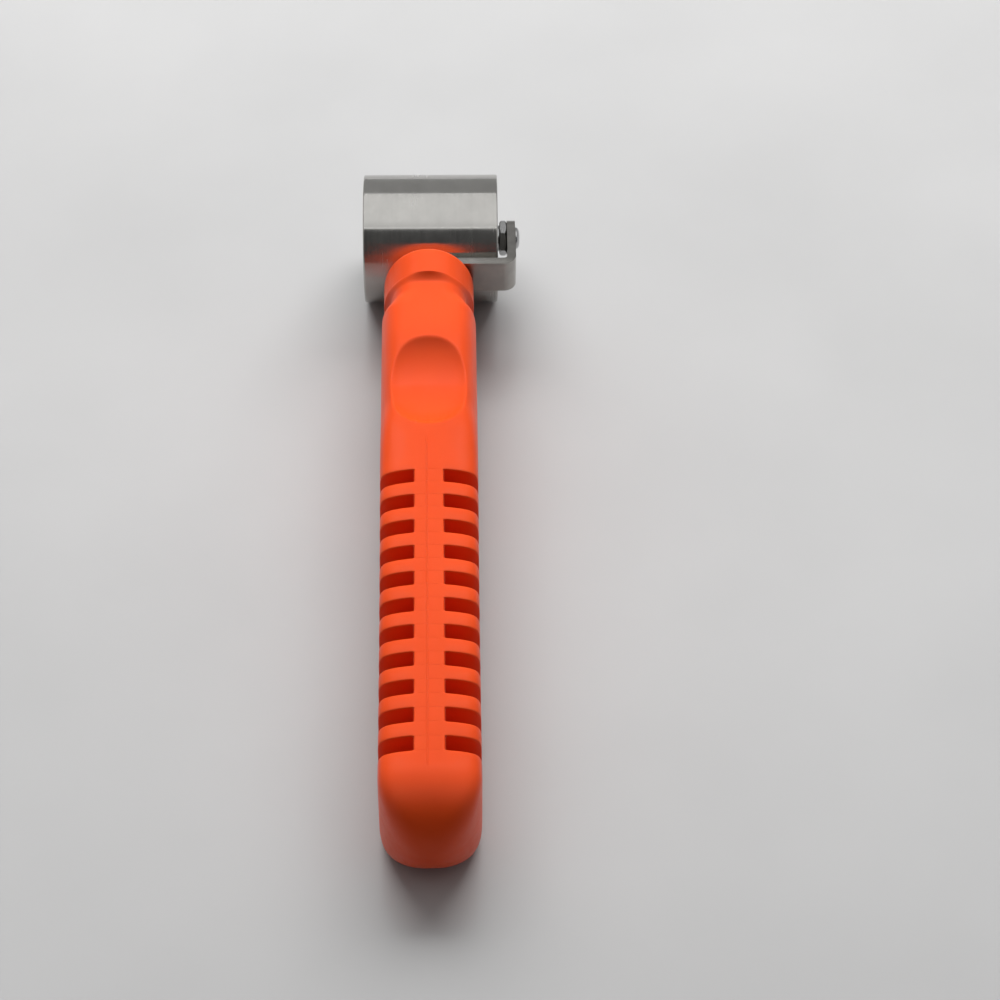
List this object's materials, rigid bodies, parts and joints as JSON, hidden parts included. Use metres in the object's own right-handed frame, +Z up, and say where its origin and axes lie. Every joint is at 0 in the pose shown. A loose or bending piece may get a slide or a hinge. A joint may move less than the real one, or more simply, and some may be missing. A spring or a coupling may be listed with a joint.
{
  "type": "seam roller",
  "caption": "Hand seam roller: a wide polished steel roller on ball bearings, held at one end by a bent steel arm set in a ribbed plastic handle with a thumb rest.",
  "frame": {"origin": "middle of the tool's footprint on the table it lies on, at table height", "axes": "+Z up from the table, X along the roller axis with the arm's ear on the +X side, +Y along the tool from the handle's butt towards the roller"},
  "size_m": [0.0374, 0.1938, 0.0307],
  "materials": {
    "handle_plastic": "semi-gloss moulded",
    "arm_steel": "zinc plated, satin",
    "axle_steel": "zinc plated",
    "clip_steel": "phosphated spring steel",
    "roller_steel": "polished",
    "bearing_steel": "ground",
    "cage_steel": "pressed",
    "shield_steel": "pressed",
    "ball_steel": "lapped"
  },
  "bodies": {
    "tool": {"handle": "handle_plastic", "bracket": "arm_steel", "axle": "axle_steel", "lock_nut": "axle_steel", "axle_shim": "axle_steel", "bearing_spacer": "axle_steel", "end_washer": "axle_steel", "retaining_clip": "clip_steel", "inboard_bearing_inner_ring": "bearing_steel", "outboard_bearing_inner_ring": "bearing_steel"},
    "roller": {"roller_shell": "roller_steel", "inboard_bearing_outer_ring": "bearing_steel", "inboard_bearing_left_shield": "shield_steel", "inboard_bearing_right_shield": "shield_steel", "outboard_bearing_outer_ring": "bearing_steel", "outboard_bearing_left_shield": "shield_steel", "outboard_bearing_right_shield": "shield_steel"},
    "inboard_balls": {"inboard_bearing_cage": "cage_steel", "inboard_bearing_ball_1": "ball_steel", "inboard_bearing_ball_2": "ball_steel", "inboard_bearing_ball_3": "ball_steel", "inboard_bearing_ball_4": "ball_steel", "inboard_bearing_ball_5": "ball_steel", "inboard_bearing_ball_6": "ball_steel", "inboard_bearing_ball_7": "ball_steel"},
    "outboard_balls": {"outboard_bearing_cage": "cage_steel", "outboard_bearing_ball_1": "ball_steel", "outboard_bearing_ball_2": "ball_steel", "outboard_bearing_ball_3": "ball_steel", "outboard_bearing_ball_4": "ball_steel", "outboard_bearing_ball_5": "ball_steel", "outboard_bearing_ball_6": "ball_steel", "outboard_bearing_ball_7": "ball_steel"}
  },
  "joints": [
    {"name": "roller_spin", "type": "hinge", "parent": "tool", "child": "roller", "pos_m": [-0.0027, 0.08158, 0.01535], "axis": [1, 0, 0], "continuous": true},
    {"name": "inboard_balls_orbit", "type": "hinge", "parent": "tool", "child": "inboard_balls", "pos_m": [-0.0027, 0.08158, 0.01535], "axis": [1, 0, 0], "continuous": true},
    {"name": "outboard_balls_orbit", "type": "hinge", "parent": "tool", "child": "outboard_balls", "pos_m": [-0.0027, 0.08158, 0.01535], "axis": [1, 0, 0], "continuous": true}
  ],
  "couplings": [
    {"joint": "inboard_balls_orbit", "follows": "roller_spin", "ratio": 0.6294},
    {"joint": "outboard_balls_orbit", "follows": "roller_spin", "ratio": 0.6294}
  ]
}
